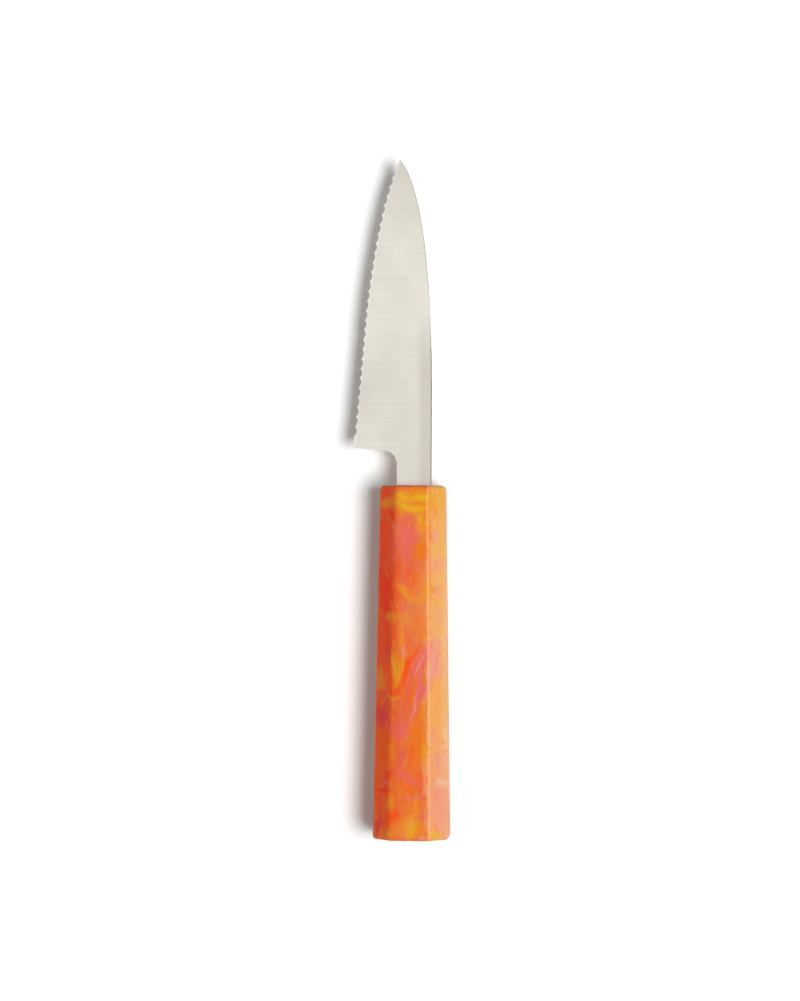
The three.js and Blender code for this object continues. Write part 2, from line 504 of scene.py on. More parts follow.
@dataclass(frozen=True)
class SatinSteel:
    """Ground stainless steel with fine lines across the blade, honed beside the edge.

    A span runs from where its tone doesn't show to where it shows in full: in millimetres along the
    blade from the handle's front, or for a width from the spine or the edge.
    """

    face: Colour = srgb(233, 228, 218)
    shade: Colour = srgb(212, 207, 197)
    # Painted darker reflection on the flat beside the spine
    spine_side_shade: Colour = srgb(200, 194, 184)
    # Painted shade: a dark line along the spine's rim
    spine_rim_shade: Colour = srgb(116, 109, 100)
    # Painted darker reflection towards the tip
    tip: Colour = srgb(206, 199, 187)
    # Partly the honed band's own polish and partly a painted highlight along the edge
    honed: Colour = srgb(236, 233, 225)
    fine: Grain = Grain(0.05, 3.4, 3.0, 0.6)
    coarse: Grain = Grain(0.03, 1.1, 3.0, 0.55)
    cloud: Grain = Grain(0.06, 0.045)
    fine_share: float = 0.6
    line_share: float = 0.5
    tone_span: Span = (0.3, 0.78)
    # Painted reflection: the blade is made lighter in its middle, from the neck to near the tip
    mid_sheen_from_neck: Span = (34, 54)
    mid_sheen_from_tip: Span = (96, 72)
    mid_sheen_share: float = 0.1
    tip_shade_span: Span = (96, 108)
    tip_shade_share: float = 0.6
    spine_width: Span = (5.6, 2.8)
    spine_span: Span = (62, 36)
    spine_shade_share: float = 0.7
    honed_width: Span = (1.2, 0.84)
    honed_glint_share: float = 0.45
    spine_rim_width: Span = (0.36, 0.18)
    spine_rim_span: Span = (56, 42)
    spine_rim_least: float = 0.5
    roughness: float = 0.28
    roughness_spread: float = 0.1
    spine_rim_roughness: float = 0.6
    honed_polish: float = 0.06
    line_depth: float = 0.012
    line_strength: float = 0.35

    def material(self, seat: Seat) -> bpy.types.Material:
        """Mixes the finish.

        Args:
            seat: Where the knife lies.

        Returns:
            The material.
        """
        graph, material = Graph.of_material("satin_steel")
        place = graph.knife_place(seat)
        along = graph.axis(place, "Y")
        fine, coarse = graph.noise(place, self.fine), graph.noise(place, self.coarse)
        cloud = graph.noise(place, self.cloud)
        lines = fine * self.fine_share + coarse * (1 - self.fine_share)
        from_edge, from_spine = graph.attribute("from_edge"), graph.attribute("from_spine")
        # Painted reflection: a lighter band in the blade's middle joins the satin lines and the cloud in
        # choosing the tone
        middle = graph.step(along, *self.mid_sheen_from_neck) * graph.step(along, *self.mid_sheen_from_tip)
        light = lines * self.line_share + cloud * (1 - self.line_share) + middle * self.mid_sheen_share
        colour = graph.mixed(graph.step(light, *self.tone_span), self.shade, self.face)
        # Painted darker reflection towards the tip
        colour = graph.mixed(graph.step(along, *self.tip_shade_span) * self.tip_shade_share, colour, self.tip)
        # Painted darker reflection on the flat beside the spine
        spine_shade = graph.step(from_spine, *self.spine_width) * graph.step(along, *self.spine_span)
        colour = graph.mixed(spine_shade * self.spine_shade_share, colour, self.spine_side_shade)
        # The honed band: polished, and lighter by a painted highlight along the edge
        honing = graph.step(from_edge, *self.honed_width)
        colour = graph.mixed(honing * self.honed_glint_share, colour, self.honed)
        # Where the painted dark line of shade along the spine's rim shows, fainter towards the tip; it is
        # made rougher too
        cut = graph.step(from_spine, *self.spine_rim_width)
        shown = self.spine_rim_least + graph.step(along, *self.spine_rim_span) * (1 - self.spine_rim_least)
        colour = graph.mixed(cut * shown, colour, self.spine_rim_shade)
        polish = self.roughness + (lines - NOISE_MIDDLE) * self.roughness_spread
        polish = polish - honing * self.honed_polish
        rough = polish + cut * (self.spine_rim_roughness - polish)
        bump = graph.bump(lines, self.line_depth, self.line_strength)
        inputs = {"Base Color": colour, "Metallic": 1.0, "Roughness": rough, "Normal": bump}
        graph.surface(graph.node("ShaderNodeBsdfPrincipled", None, inputs))
        return material


class Pigment(Enum):
    """The colours that are folded into the handle's plastic."""

    ORANGE = srgb(236, 118, 48)
    BRIGHT_ORANGE = srgb(242, 124, 22)
    LIGHT_ORANGE = srgb(244, 150, 70)
    CORAL = srgb(231, 100, 76)
    RED = srgb(252, 82, 12)
    SCARLET = srgb(252, 64, 14)
    DEEP_RED = srgb(250, 44, 10)
    MAGENTA = srgb(234, 60, 60)
    PINK = srgb(236, 108, 104)
    PALE_PINK = srgb(242, 156, 136)
    AMBER = srgb(240, 154, 32)
    YELLOW = srgb(236, 180, 34)
    PEACH = srgb(243, 190, 110)
    CHALK = srgb(250, 222, 190)
    # A painted shade, not a pigment of the plastic
    RIDGE_SHADE = srgb(216, 84, 36)


@dataclass(frozen=True)
class Fold:
    """A fold of pigment: a soft ellipsoid, drawn out, turned and bowed, at a place in the knife's frame."""

    pigment: Pigment
    x: float
    y: float
    width: float
    length: float
    turn: float = 0.0
    strength: float = 0.8
    softness: float = 0.55
    bow: float = 0.0
    depth: float = 7.0
    fray: float = 1.8


@dataclass(frozen=True)
class Vein:
    """A pigment that shows where a noise runs from low to high."""

    pigment: Pigment
    low: float
    high: float
    strength: float


@dataclass(frozen=True)
class MarbledPlastic:
    """Pressed plastic, marbled through its depth, sanded along the handle to a satin."""

    roughness: float = 0.32
    roughness_spread: float = 0.1
    specular: float = 0.13
    scratch: Grain = Grain(7.0, 0.12, 2.0, 0.6)
    scratch_depth: float = 0.006
    scratch_strength: float = 0.3
    wide: Grain = Grain(0.1, 0.05, push=8.0)
    curl: Grain = Grain(0.2, 0.1, push=9.0)
    near: Grain = Grain(0.3, 0.15, push=2.2)
    rim: Grain = Grain(0.9, 0.4, push=1.2)
    swirl: Grain = Grain(0.17, 0.06, 4.0, 0.55)
    streak: Grain = Grain(0.2, 0.07, 5.0, 0.6)
    wisp: Grain = Grain(0.55, 0.16, 6.0, 0.62)
    hair: Grain = Grain(3.2, 0.1, 3.0, 0.6)
    ground: tuple[tuple[float, Pigment], ...] = (
        (0.3, Pigment.CORAL),
        (0.46, Pigment.ORANGE),
        (0.6, Pigment.ORANGE),
        (0.74, Pigment.LIGHT_ORANGE),
    )
    streaked: tuple[Pigment, ...] = (Pigment.AMBER, Pigment.PINK, Pigment.RED)
    streak_span: Span = (0.5, 0.64)
    streak_least: float = 0.4
    streak_gain: float = 0.5
    unfolded_span: Span = (5.0, -3.0)
    wisp_veins: tuple[Vein, ...] = (
        Vein(Pigment.LIGHT_ORANGE, 0.54, 0.7, 0.35),
        Vein(Pigment.RED, 0.46, 0.3, 0.4),
    )
    hair_veins: tuple[Vein, ...] = (
        Vein(Pigment.RED, 0.44, 0.28, 0.12),
        Vein(Pigment.PEACH, 0.57, 0.75, 0.16),
    )
    surface_height: float = 8.0
    # About 80 folds mixed on one place are more than the renderer holds, so a layer has fewer
    layer: int = 20
    drag: float = 0.9
    folds: tuple[Fold, ...] = (
        # The spine's side is paler, a painted sheen of the light falling on its bevel, and the belly's side
        # is redder, partly its own pigment and partly its look in shade painted in
        Fold(Pigment.PEACH, 10.1, -60, 5.2, 105, strength=0.8, softness=0.25, depth=8),
        Fold(Pigment.YELLOW, 10.5, -18, 3.2, 10, strength=0.12, softness=0.7, depth=9),
        Fold(Pigment.LIGHT_ORANGE, 9.6, -73, 3.6, 13, strength=0.4, softness=0.7, depth=9),
        Fold(Pigment.PINK, 8.6, -101, 4.6, 15, strength=0.22, softness=0.7, depth=9),
        # A painted highlight along the edge on the spine's side
        Fold(Pigment.CHALK, 12.4, -62, 2.0, 58, strength=0.3, softness=0.7, depth=9),
        # A painted strip of the floor's light on the rounded edge of the belly's side
        Fold(Pigment.AMBER, -12.6, -62, 1.4, 64, strength=0.35, softness=0.6, depth=12),
        Fold(Pigment.LIGHT_ORANGE, 4.6, -34, 2.2, 26, strength=0.5, softness=0.7),
        Fold(Pigment.PALE_PINK, 1.0, -42, 4.6, 9, strength=0.18, softness=0.8),
        Fold(Pigment.SCARLET, -9.2, -27, 4.2, 20, strength=0.9, softness=0.45, depth=9),
        Fold(Pigment.RED, -5.0, -27, 1.6, 13, strength=0.7, softness=0.8),
        Fold(Pigment.SCARLET, -9.4, -54, 3.6, 11, strength=0.8, depth=9),
        Fold(Pigment.RED, -9.8, -92, 4.4, 28, strength=0.85, depth=9),
        Fold(Pigment.RED, -9.4, -5, 3.4, 7, strength=0.6, depth=9),
        # Front
        Fold(Pigment.AMBER, 0.6, -5.6, 6.4, 4.6, strength=0.9, softness=0.4),
        Fold(Pigment.YELLOW, -2.8, -4.0, 1.1, 2.2, turn=70, strength=0.7),
        Fold(Pigment.YELLOW, 3.0, -4.4, 1.3, 3.0, turn=96, strength=0.8),
        Fold(Pigment.YELLOW, 0.4, -8.2, 1.2, 5.2, turn=86, bow=-1.4, strength=0.75),
        Fold(Pigment.YELLOW, -3.4, -6.8, 1.0, 1.8, turn=40, strength=0.6),
        Fold(Pigment.BRIGHT_ORANGE, 0.8, -2.6, 1.0, 1.0, strength=0.7),
        Fold(Pigment.BRIGHT_ORANGE, 2.2, -6.0, 0.7, 2.0, turn=84, strength=0.6),
        Fold(Pigment.DEEP_RED, -8.3, -2.7, 2.2, 1.8, strength=0.6),
        Fold(Pigment.AMBER, -8.9, -6.4, 2.2, 1.4, strength=0.65),
        Fold(Pigment.DEEP_RED, -6.6, -9.8, 1.5, 1.7, strength=0.7),
        Fold(Pigment.AMBER, 3.4, -13.0, 2.3, 3.8, turn=-8, strength=0.85),
        Fold(Pigment.YELLOW, 2.8, -11.2, 0.7, 1.6, turn=-20, strength=0.5),
        Fold(Pigment.CORAL, -0.6, -26, 4.8, 6.5, strength=0.45, softness=0.9),
        Fold(Pigment.PINK, -1.9, -18.2, 3.8, 6.8, turn=-6, strength=0.8, softness=0.75),
        Fold(Pigment.CORAL, -3.0, -21.5, 0.4, 3.2, turn=50, bow=1.5, strength=0.7, fray=0.4),
        Fold(Pigment.CORAL, -1.2, -25.2, 0.4, 3.6, turn=62, bow=1.5, strength=0.7, fray=0.4),
        Fold(Pigment.BRIGHT_ORANGE, 3.4, -22.0, 2.0, 3.4, strength=0.85),
        Fold(Pigment.BRIGHT_ORANGE, 6.6, -16.8, 0.7, 3.0, turn=14, strength=0.6),
        Fold(Pigment.AMBER, 8.6, -5.0, 3.4, 6.0, strength=0.25),
        Fold(Pigment.YELLOW, 9.6, -3.4, 3.0, 3.4, strength=0.35),
        Fold(Pigment.BRIGHT_ORANGE, 8.0, -8.6, 0.8, 2.4, turn=-12, strength=0.3),
        Fold(Pigment.PALE_PINK, 8.1, -16.6, 0.9, 2.8, turn=-8, strength=0.55),
        Fold(Pigment.PALE_PINK, 8.4, -26.6, 2.2, 3.0, turn=-20, strength=0.5),
        # Middle
        Fold(Pigment.DEEP_RED, -8.7, -34.0, 2.0, 4.4, strength=0.6, softness=0.7),
        Fold(Pigment.DEEP_RED, -8.4, -41.4, 1.5, 1.8, strength=0.65),
        Fold(Pigment.RED, -0.2, -31.0, 2.4, 2.4, strength=0.4, softness=0.8),
        Fold(Pigment.AMBER, -2.2, -35.6, 1.4, 2.6, turn=55, strength=0.6, softness=0.7),
        Fold(Pigment.AMBER, 0.6, -38.0, 1.1, 4.4, turn=72, bow=-1.6, strength=0.65, softness=0.7),
        Fold(Pigment.AMBER, 4.8, -36.0, 1.7, 3.4, strength=0.65, softness=0.7),
        Fold(Pigment.AMBER, 7.6, -35.2, 0.9, 3.4, turn=-60, strength=0.5),
        Fold(Pigment.AMBER, 7.2, -38.2, 0.5, 2.2, turn=80, strength=0.6),
        Fold(Pigment.AMBER, -3.4, -44.0, 1.3, 3.4, turn=72, bow=0.7, strength=0.6, softness=0.7),
        Fold(Pigment.AMBER, -6.4, -44.8, 0.9, 1.9, strength=0.55),
        Fold(Pigment.LIGHT_ORANGE, -3.6, -50, 1.0, 6.0, strength=0.6, softness=0.7),
        Fold(Pigment.AMBER, -2.6, -51.5, 0.7, 4.6, turn=-4, strength=0.5, softness=0.7),
        Fold(Pigment.BRIGHT_ORANGE, 3.4, -47, 1.9, 6.0, strength=0.35),
        Fold(Pigment.PALE_PINK, 8.6, -35.8, 1.1, 2.4, strength=0.45),
        Fold(Pigment.PALE_PINK, 9.2, -43.2, 1.0, 2.4, strength=0.45),
        Fold(Pigment.PALE_PINK, -2.2, -55.8, 0.7, 2.2, strength=0.5),
        Fold(Pigment.RED, 0.8, -58, 1.0, 5.0, turn=-28, strength=0.75),
        Fold(Pigment.PINK, 3.6, -58.4, 2.3, 5.6, turn=-24, strength=0.85),
        Fold(Pigment.PALE_PINK, 3.0, -60.5, 0.5, 4.0, turn=-22, strength=0.5, fray=0.4),
        Fold(Pigment.PALE_PINK, 8.0, -56.4, 2.0, 6.0, turn=-10, strength=0.8),
        Fold(Pigment.PINK, 8.6, -60.5, 0.6, 4.6, turn=-14, strength=0.45, fray=0.5),
        Fold(Pigment.MAGENTA, -7.6, -58, 1.3, 3.4, turn=8, strength=0.6),
        # The swirl between middle and butt
        Fold(Pigment.AMBER, -10.4, -66.0, 1.4, 4.4, strength=0.4, softness=0.7),
        Fold(Pigment.RED, -7.2, -63.6, 1.3, 5.6, turn=14),
        Fold(Pigment.RED, -2.2, -64.0, 1.0, 5.8, turn=-18),
        Fold(Pigment.RED, -4.8, -69.4, 1.8, 1.3),
        Fold(Pigment.AMBER, -4.8, -61.6, 1.6, 5.6, turn=4, strength=0.85),
        Fold(Pigment.YELLOW, -5.4, -61.4, 0.55, 4.6, turn=8, strength=0.85),
        Fold(Pigment.YELLOW, -4.2, -64.2, 0.5, 3.4, turn=-6, strength=0.8),
        Fold(Pigment.AMBER, -2.6, -59.6, 0.6, 3.0, turn=-8, strength=0.75),
        Fold(Pigment.AMBER, -5.4, -72.0, 0.6, 2.0, turn=90, bow=-1.6, strength=0.8),
        Fold(Pigment.CORAL, -3.2, -77, 2.4, 5.0, strength=0.55, softness=0.8),
        Fold(Pigment.CORAL, -0.6, -69, 0.7, 9.0, turn=-10, bow=0.6, strength=0.7, fray=0.6),
        Fold(Pigment.RED, 0.4, -70, 0.5, 8.0, turn=-12, bow=0.6, strength=0.5, fray=0.6),
        Fold(Pigment.PINK, 2.1, -72.6, 0.8, 8.6, turn=-13, bow=0.4, strength=0.9, fray=0.6),
        Fold(Pigment.PALE_PINK, 1.4, -75.2, 0.35, 5.4, turn=-12, bow=0.4, strength=0.55, fray=0.4),
        Fold(Pigment.PINK, 4.6, -69.6, 1.3, 2.6, turn=-15, strength=0.95),
        Fold(Pigment.PALE_PINK, 6.6, -64.4, 0.8, 7.0, turn=-14, strength=0.85, fray=0.6),
        Fold(Pigment.PALE_PINK, 9.6, -61.5, 1.6, 4.0, strength=0.6),
        Fold(Pigment.YELLOW, 11.8, -72, 1.0, 7.0, strength=0.3),
        # Towards the butt
        Fold(Pigment.MAGENTA, -9.1, -77.4, 2.7, 4.0, strength=0.9),
        Fold(Pigment.MAGENTA, -9.4, -70.2, 1.9, 1.3, strength=0.6),
        Fold(Pigment.PINK, -3.9, -82.4, 2.6, 3.4, strength=0.75, softness=0.7),
        Fold(Pigment.AMBER, -6.0, -89.4, 1.1, 4.2, strength=0.6, softness=0.7),
        Fold(Pigment.BRIGHT_ORANGE, 1.8, -86.0, 2.6, 8.0, turn=-6, strength=0.65),
        Fold(Pigment.AMBER, 4.8, -88.2, 1.0, 4.6, strength=0.75, softness=0.7),
        Fold(Pigment.YELLOW, 4.9, -88.7, 0.5, 2.2, strength=0.5),
        Fold(Pigment.RED, 0.6, -90.5, 0.8, 4.5, turn=-6, strength=0.35),
        Fold(Pigment.PALE_PINK, 7.6, -84.2, 0.6, 3.0, turn=-8, strength=0.55),
        Fold(Pigment.PALE_PINK, 9.2, -93.2, 1.1, 3.4, strength=0.55),
        Fold(Pigment.CORAL, -3.2, -94.4, 2.4, 6.0, strength=0.65, softness=0.7),
        Fold(Pigment.DEEP_RED, -9.1, -102.6, 1.3, 1.4, strength=0.9),
        Fold(Pigment.DEEP_RED, -7.8, -98.4, 0.8, 2.6, turn=-8, strength=0.5),
        Fold(Pigment.PINK, -0.6, -99.2, 0.4, 5.4, turn=58, bow=-3.4, strength=0.95, fray=0.3),
        Fold(Pigment.PINK, -7.2, -101.0, 0.4, 2.8, turn=58, strength=0.85, fray=0.3),
        Fold(Pigment.PINK, 1.4, -105.5, 0.4, 3.8, turn=95, bow=-4.4, strength=0.9, fray=0.3),
        Fold(Pigment.PALE_PINK, 10.2, -106, 3.6, 14.0, strength=0.6, softness=0.7),
        Fold(Pigment.PALE_PINK, 9.2, -102.6, 0.4, 3.6, turn=88, bow=1.6, strength=0.85, fray=0.3),
        Fold(Pigment.CHALK, 11.2, -99.6, 2.0, 1.3, strength=0.35, softness=0.7),
        Fold(Pigment.AMBER, -6.2, -107, 1.2, 3.4, strength=0.6),
        Fold(Pigment.RED, -6.6, -112, 2.8, 2.6, turn=20, strength=0.8),
        Fold(Pigment.AMBER, 2.6, -109.3, 1.1, 4.0, strength=0.45),
        Fold(Pigment.AMBER, -0.4, -115.6, 5.6, 3.6, strength=0.6),
        Fold(Pigment.YELLOW, 0.4, -115.2, 1.3, 3.6, turn=-10, strength=0.7, softness=0.8),
        Fold(Pigment.YELLOW, -6.6, -117.6, 1.6, 1.1, strength=0.5),
        Fold(Pigment.PALE_PINK, 4.2, -118.4, 1.6, 0.8, strength=0.5),
        Fold(Pigment.MAGENTA, -10.7, -115.0, 0.9, 4.0, turn=-15, strength=0.85),
        Fold(Pigment.PALE_PINK, 10.4, -112.0, 1.8, 5.5, strength=0.65),
        Fold(Pigment.YELLOW, 8.4, -117.8, 1.8, 1.9, strength=0.75),
        # A painted shade along the ridge on the belly's side, which softens the step from the lit top to
        # the shaded bevel
        Fold(Pigment.RIDGE_SHADE, -4.9, -60, 1.3, 62, strength=0.42, softness=0.8),
    )

    def material(self, seat: Seat) -> bpy.types.Material:
        """Mixes the finish.

        Args:
            seat: Where the knife lies.

        Returns:
            The material.
        """
        graph, material = Graph.of_material("marbled_plastic")
        place = graph.knife_place(seat)
        scratches = graph.noise(place, self.scratch)
        inputs = {
            "Base Color": self._colour(graph, place),
            "Roughness": self.roughness + (scratches - NOISE_MIDDLE) * self.roughness_spread,
            "Specular IOR Level": self.specular,
            "Normal": graph.bump(scratches, self.scratch_depth, self.scratch_strength),
        }
        graph.surface(graph.node("ShaderNodeBsdfPrincipled", None, inputs))
        return material

    def _colour(self, graph: Graph, place: Signal) -> Signal:
        """Folds the pigments into each other.

        Args:
            graph: The material's graph.
            place: The place in the knife's frame.

        Returns:
            The marbled colour.
        """
        wide = graph.pushed(place, self.wide)
        curled = graph.pushed(wide, self.curl)
        edged = graph.pushed(graph.pushed(place, self.near), self.rim)
        wisps, hairs = graph.noise(curled, self.wisp), graph.noise(place, self.hair)
        stops = [(mark, pigment.value) for mark, pigment in self.ground]
        colour = graph.node("ShaderNodeValToRGB", {"stops": stops}, {"Fac": graph.noise(wide, self.swirl)})
        unfolded = graph.step(graph.axis(place, "Z"), *self.unfolded_span)
        strength = self.streak_least + unfolded * self.streak_gain
        streaks = graph.noise(curled, self.streak, "Color")
        for index, pigment in enumerate(self.streaked):
            streak = graph.node("ShaderNodeSeparateColor", None, {0: streaks}, index)
            colour = graph.mixed(graph.step(streak, *self.streak_span) * strength, colour, pigment.value)
        for start in range(0, len(self.folds), self.layer):
            dragged = self._dragged(graph, edged, colour)
            for fold in self.folds[start : start + self.layer]:
                share = self._share(graph, dragged, wisps - NOISE_MIDDLE, fold)
                colour = graph.mixed(share, colour, fold.pigment.value)
        for noise, veins in ((wisps, self.wisp_veins), (hairs, self.hair_veins)):
            for vein in veins:
                share = graph.step(noise, vein.low, vein.high) * vein.strength
                colour = graph.mixed(share, colour, vein.pigment.value)
        return colour

    def _dragged(self, graph: Graph, place: Signal, colour: Signal) -> Signal:
        """Moves a place by how far the colour there departs from the plain orange."""
        apart = graph.vector("SUBTRACT", colour, Pigment.ORANGE.value[:3])
        return graph.vector("ADD", place, graph.vector("MULTIPLY", apart, (self.drag,) * 3))

    def _share(self, graph: Graph, place: Signal, frayed: Signal, fold: Fold) -> Signal:
        """Finds how much of a fold's pigment shows at a place.

        Args:
            graph: The material's graph.
            place: The place in the knife's frame.
            frayed: How far the wisps stand out there, which draws the fold's rim in or out.
            fold: The fold.

        Returns:
            The share.
        """
        inputs = {
            "Vector": place,
            "Location": (fold.x, fold.y, self.surface_height),
            "Rotation": (0, 0, math.radians(fold.turn)),
            "Scale": (fold.width, fold.length, fold.depth),
        }
        inside = graph.node("ShaderNodeMapping", {"vector_type": "TEXTURE"}, inputs)
        if fold.bow:
            along = graph.axis(inside, "Y")
            bend = graph.node("ShaderNodeCombineXYZ", None, {"X": along * along * fold.bow})
            inside = graph.vector("ADD", inside, bend)
        rim = graph.length(inside) + frayed * fold.fray
        return graph.step(rim, 1 + fold.softness, 1 - fold.softness) * fold.strength


@dataclass(frozen=True)
class CuredAdhesive:
    """Amber adhesive that has set, a little cloudy."""

    clear: Colour = srgb(206, 160, 84)
    cloudy: Colour = srgb(226, 192, 128)
    cloud: Grain = Grain(0.9, 0.9, 3.0)
    cloud_span: Span = (0.35, 0.7)
    roughness: float = 0.25
    roughness_gain: float = 0.2
    ripple_depth: float = 0.05
    ripple_strength: float = 0.3

    def material(self, seat: Seat) -> bpy.types.Material:
        """Mixes the finish.

        Args:
            seat: Where the knife lies.

        Returns:
            The material.
        """
        graph, material = Graph.of_material("cured_adhesive")
        cloud = graph.noise(graph.knife_place(seat), self.cloud)
        inputs = {
            "Base Color": graph.mixed(graph.step(cloud, *self.cloud_span), self.clear, self.cloudy),
            "Roughness": self.roughness + cloud * self.roughness_gain,
            "Normal": graph.bump(cloud, self.ripple_depth, self.ripple_strength),
        }
        graph.surface(graph.node("ShaderNodeBsdfPrincipled", None, inputs))
        return material


@dataclass
class Tang:
    """The hidden part of the steel, which the pocket and the adhesive follow."""

    axis: float = 0.25
    neck_depth: float = 11.7
    root_width: float = 9.5
    end_width: float = 6.5
    length: float = 78.0
    shoulder: float = 8.0

    def knots(self, grow: float) -> list[Knot]:
        """Lays the tang's outline from the spine's side round its end to the belly's side.

        Args:
            grow: How far the outline is widened all round.

        Returns:
            The knots.
        """
        neck = self.neck_depth / 2 + grow
        root = self.root_width / 2 + grow
        end = self.end_width / 2 + grow
        shoulder = -self.shoulder - grow
        centre = Vector((self.axis, self.end_width / 2 - self.length))
        quarter = math.pi / 2
        first, middle = arc(centre, end, 0, -quarter)
        again, last = arc(centre, end, -quarter, -2 * quarter)
        return [
            Knot(Vector((self.axis + neck, shoulder))),
            Knot(Vector((self.axis + root, shoulder))),
            first,
            Knot(middle.at, middle.before, again.after),
            last,
            Knot(Vector((self.axis - root, shoulder))),
            Knot(Vector((self.axis - neck, shoulder))),
        ]

    def sleeve(self, name: str, grow: float, top: float, thickness: float) -> bpy.types.Object:
        """Models the tang and its neck, widened all round and cut off at a height.

        Args:
            name: The name of the shape.
            grow: How far it is widened all round.
            top: The height of its mouth.
            thickness: The steel's own thickness.

        Returns:
            The shape as a plate.
        """
        neck = self.neck_depth / 2 + grow
        mouth = [Knot(Vector((self.axis - neck, top))), Knot(Vector((self.axis + neck, top)))]
        return plate(name, mouth + self.knots(grow), thickness + 2 * grow)


@dataclass
class Blade:
    """The steel piece: a serrated blade with its heel, neck and tang, in millimetres."""

    tang: Tang
    stock: float = 1.8
    reach: float = 110.8
    spine: float = 6.1
    depth: float = 26.7
    neck_length: float = 12.8
    notch_radius: float = 4.8
    tip_drop: float = 11.3
    edge_angle: float = math.radians(4.9)
    edge_straight: float = 45.3
    belly_pull: float = 12.5
    edge_tip_angle: float = math.radians(30)
    edge_tip_pull: float = 12.0
    spine_straight: float = 28.5
    spine_drop_pull: float = 54.0
    spine_tip_angle: float = math.radians(43)
    spine_tip_pull: float = 8.5
    edge_thickness: float = 0.3
    flat_depth: float = 7.7
    flat_runout: float = 72.0
    plunge: float = 4.0
    tooth_pitch: float = 3.3
    scallop_depth: float = 0.78
    scallop_angle: float = math.radians(20)
    heel_plain: float = 4.05
    tip_plain: float = 2.4
    spine_easing: float = 0.15
    spine_steps: int = 5
    corner_easing: float = 0.08
    corner_steps: int = 2
    outline_steps: int = 64
    wheel_sides: int = 240
    station_pitch: float = 1.0
    section_pitch: float = 4.0
    margin: float = 3.0
    weld: float = 0.01
    straight_within: float = 0.003
    plane_slack: float = 0.001
    beside: float = 0.05
    measured_from: float = 1.0
    smooth_degrees: float = 16.0
    finish: SatinSteel = field(default_factory=SatinSteel)

    def __post_init__(self) -> None:
        """Works out the corners that several methods share."""
        self.underside = self.spine - self.tang.neck_depth
        self.heel = Vector((self.spine - self.depth, self.neck_length))
        self.tip = Vector((self.spine - self.tip_drop, self.reach))
        self.run = Vector((math.sin(self.edge_angle), math.cos(self.edge_angle)))
        self.belly = self.heel + self.run * self.edge_straight
        across = self.underside - self.notch_radius
        drop = self.notch_radius + math.sin(self.edge_angle) * (across - self.heel.x)
        self.notch = Vector((across, self.heel.y - drop / math.cos(self.edge_angle)))
        self.belly_turn = self.run * self.belly_pull
        self.edge_end = Vector((math.sin(self.edge_tip_angle), math.cos(self.edge_tip_angle)))
        self.spine_end = Vector((math.sin(self.spine_tip_angle), -math.cos(self.spine_tip_angle)))
        self.edge = self._edge_trail()
        self.back = self._spine_trail()

    def _edge_trail(self, steps: int = 200) -> Trail:
        """Samples the edge before it is serrated, from the heel to the tip."""
        pulls = (self.belly + self.belly_turn, self.tip - self.edge_end * self.edge_tip_pull)
        curve = interpolate_bezier(self.belly, *pulls, self.tip, steps)
        return Trail([self.heel, *(point.to_2d() for point in curve)])

    def _spine_trail(self, steps: int = 200) -> Trail:
        """Samples the spine from the tang's shoulder to the tip."""
        start = Vector((self.spine, self.spine_straight))
        pulls = (start + Vector((0, self.spine_drop_pull)), self.tip + self.spine_end * self.spine_tip_pull)
        curve = interpolate_bezier(start, *pulls, self.tip, steps)
        return Trail([Vector((self.spine, -self.tang.length)), *(point.to_2d() for point in curve)])

    def build(self) -> bpy.types.Object:
        """Models the piece: a blank with its edges eased, ground and serrated.

        Returns:
            The piece, in the knife's own frame.
        """
        piece = plate("serrated_blade", self._outline(), self.stock, self.outline_steps)
        self._ease(piece)
        for side in Side:
            Bench.cut(piece, self._grinder(side))
        for wheel in self._wheels():
            Bench.cut(piece, wheel)
        Bench.close(piece, self.weld)
        self._section(piece)
        Bench.straighten(piece, self.straight_within)
        self._measure(piece)
        return piece

    def _outline(self) -> list[Knot]:
        """Lays the blank's outline: notch, heel, edge, tip, spine and tang."""
        straight_end = Knot(self.belly, after=self.belly_turn)
        point = Knot(self.tip, -self.edge_end * self.edge_tip_pull, self.spine_end * self.spine_tip_pull)
        drop = Knot(Vector((self.spine, self.spine_straight)), before=Vector((0, self.spine_drop_pull)))
        return [
            *arc(self.notch, self.notch_radius, 0, math.pi / 2 - self.edge_angle),
            Knot(self.heel),
            straight_end,
            point,
            drop,
            *self.tang.knots(0),
        ]

    def _grind_line(self, y: float) -> float:
        """Finds where the ground face meets the flat beside the spine."""
        rise = self.flat_depth / (self.flat_runout - self.neck_length)
        start = self.spine - self.flat_depth
        swing = start + rise * (self.notch.y - self.neck_length) - self.underside
        plunge = swing * math.exp((self.notch.y - y) / self.plunge)
        return start + rise * (y - self.neck_length) - plunge

    def _grinder(self, side: Side) -> bpy.types.Object:
        """Models what the grinder takes off one face, as a surface ruled from the edge to the grind line.

        Args:
            side: The face.

        Returns:
            The cutter.
        """
        first = math.floor((self.notch.y - self.margin) / self.station_pitch)
        last = math.ceil((self.reach + self.margin) / self.station_pitch)
        bpy.ops.object.select_all(action="DESELECT")
        bpy.ops.mesh.primitive_grid_add(size=2, x_subdivisions=1, y_subdivisions=last - first)
        cutter = bpy.context.object
        thin, full = self.edge_thickness / 2, self.stock / 2
        for vertex in cutter.data.vertices:
            y = self.station_pitch * (first + round((last - first) * (vertex.co.y + 1) / 2))
            edge, guide = self.edge.x_at(y), self._grind_line(y)
            slope = (full - thin) / (guide - edge)
            x = edge - self.margin if vertex.co.x < 0 else guide + self.margin
            vertex.co = (x, y, side.value * (thin + slope * (x - edge)))
        with Bench.selecting(cutter, Element.FACES, lambda face: True):
            lift = (0, 0, side.value * self.margin)
            bpy.ops.mesh.extrude_region_move(TRANSFORM_OT_translate={"value": lift})
        Bench.close(cutter)
        return cutter

